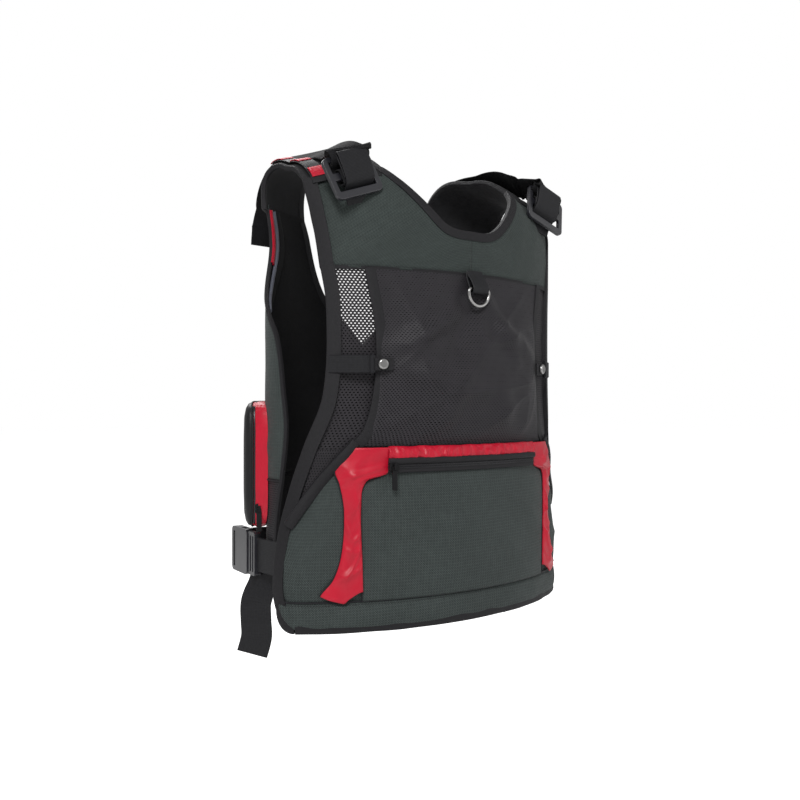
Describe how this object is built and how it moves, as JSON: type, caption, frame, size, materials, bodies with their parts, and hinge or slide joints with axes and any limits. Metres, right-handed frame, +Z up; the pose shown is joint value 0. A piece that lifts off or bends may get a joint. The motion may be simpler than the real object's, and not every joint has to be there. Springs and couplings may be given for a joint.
{
  "type": "utility vest",
  "caption": "Open-fronted utility vest with webbing shoulder straps, a mesh cargo back, zipped lumbar and side-front pockets, and adjustable side straps with quick-release buckles",
  "frame": {"origin": "centred between the shoulders, level with the underside of the shoulder straps' highest edge, where the vest rests on its wearer", "axes": "+Z up, +Y toward the wearer's front, +X toward the wearer's right; the back panel faces -Y"},
  "size_m": [0.4482, 0.2547, 0.599],
  "materials": {
    "mesh": "open black mesh",
    "ripstop": "dark slate ripstop",
    "tape": "black grosgrain tape",
    "satin": "bright red satin",
    "pad": "padded black cloth",
    "shell": "moulded black shell",
    "zipper": "black coil zipper",
    "webbing": "black webbing",
    "plastic": "charcoal moulded plastic",
    "steel": "nickel plated",
    "zip_metal": "black painted metal"
  },
  "bodies": {
    "vest": {"back_panel": "mesh", "back_yoke": "ripstop", "cargo_edge_tapes": "tape", "cargo_pocket": "mesh", "d_ring_tab": "webbing", "hem_binding": "tape", "hem_panel": "ripstop", "left_armhole_binding": "tape", "left_daisy_chain": "webbing", "left_lumbar_wing": "ripstop", "left_shoulder_band": "webbing", "left_shoulder_pad": "pad", "left_shoulder_slide": "plastic", "left_slide_webbing": "webbing", "lumbar_gusset": "satin", "lumbar_pocket_face": "ripstop", "lumbar_zip_chain": "zipper", "neck_binding": "tape", "right_armhole_binding": "tape", "right_daisy_chain": "webbing", "right_lumbar_wing": "ripstop", "right_shoulder_band": "webbing", "right_shoulder_pad": "pad", "right_shoulder_slide": "plastic", "right_slide_webbing": "webbing", "snap_studs": "steel"},
    "d_ring": {"d_ring": "steel"},
    "lumbar_slider": {"lumbar_zip_slider": "zip_metal"},
    "lumbar_pull": {"lumbar_zip_pull": "zip_metal"},
    "left_snap": {"left_snap_tab": "webbing", "left_snap_cap": "steel"},
    "left_front": {"left_front_panel": "ripstop", "left_band_tail": "webbing", "left_front_pocket_gusset": "satin", "left_front_pocket_cover": "shell", "left_front_zip_chain": "zipper", "left_side_strap": "webbing", "left_side_socket": "plastic", "left_front_strap": "webbing"},
    "left_plug": {"left_side_plug": "plastic", "left_strap_tail": "webbing"},
    "left_front_slider": {"left_front_zip_slider": "zip_metal"},
    "left_front_pull": {"left_front_zip_pull": "zip_metal"},
    "right_snap": {"right_snap_tab": "webbing", "right_snap_cap": "steel"},
    "right_front": {"right_front_panel": "ripstop", "right_band_tail": "webbing", "right_front_pocket_gusset": "satin", "right_front_pocket_cover": "shell", "right_front_zip_chain": "zipper", "right_side_strap": "webbing", "right_side_socket": "plastic", "right_front_strap": "webbing"},
    "right_plug": {"right_side_plug": "plastic", "right_strap_tail": "webbing"},
    "right_front_slider": {"right_front_zip_slider": "zip_metal"},
    "right_front_pull": {"right_front_zip_pull": "zip_metal"}
  },
  "joints": [
    {"name": "d_ring_swing", "type": "hinge", "parent": "vest", "child": "d_ring", "pos_m": [0, -0.117, -0.163], "axis": [-1, 0, 0], "range_deg": [0, 150]},
    {"name": "lumbar_zip_slide", "type": "hinge", "parent": "vest", "child": "lumbar_slider", "pos_m": [0, 0.331, -0.371], "axis": [0, 0, 1], "range_deg": [0, 27.6]},
    {"name": "lumbar_pull_swing", "type": "hinge", "parent": "lumbar_slider", "child": "lumbar_pull", "pos_m": [-0.11538, -0.10261, -0.371], "axis": [-0.9664, 0.2571, 0], "range_deg": [0, 150]},
    {"name": "left_snap_open", "type": "hinge", "parent": "vest", "child": "left_snap", "pos_m": [-0.17763, -0.06229, -0.255], "axis": [0, 0, -1], "range_deg": [0, 85]},
    {"name": "left_front_swing", "type": "hinge", "parent": "vest", "child": "left_front", "pos_m": [-0.212, -0.0124, -0.477], "axis": [0, 0, 1], "range_deg": [0, 35]},
    {"name": "left_buckle_release", "type": "slide", "parent": "left_front", "child": "left_plug", "axis": [-0.134, -0.991, 0], "range_m": [0, 0.022], "deforming": ["left_side_strap"]},
    {"name": "left_front_zip_slide", "type": "slide", "parent": "left_front", "child": "left_front_slider", "axis": [0, 0, 1], "range_m": [0, 0.1105]},
    {"name": "left_front_pull_swing", "type": "hinge", "parent": "left_front_slider", "child": "left_front_pull", "pos_m": [-0.21615, 0.02668, -0.4225], "axis": [-0.9284, 0.3715, 0], "range_deg": [0, 150]},
    {"name": "right_snap_open", "type": "hinge", "parent": "vest", "child": "right_snap", "pos_m": [0.17763, -0.06229, -0.255], "axis": [0, 0, 1], "range_deg": [0, 85]},
    {"name": "right_front_swing", "type": "hinge", "parent": "vest", "child": "right_front", "pos_m": [0.212, -0.0124, -0.477], "axis": [0, 0, -1], "range_deg": [0, 35]},
    {"name": "right_buckle_release", "type": "slide", "parent": "right_front", "child": "right_plug", "axis": [0.134, -0.991, 0], "range_m": [0, 0.022], "deforming": ["right_side_strap"]},
    {"name": "right_front_zip_slide", "type": "slide", "parent": "right_front", "child": "right_front_slider", "axis": [0, 0, 1], "range_m": [0, 0.1105]},
    {"name": "right_front_pull_swing", "type": "hinge", "parent": "right_front_slider", "child": "right_front_pull", "pos_m": [0.21615, 0.02668, -0.4225], "axis": [-0.9284, -0.3715, 0], "range_deg": [0, 150]}
  ]
}
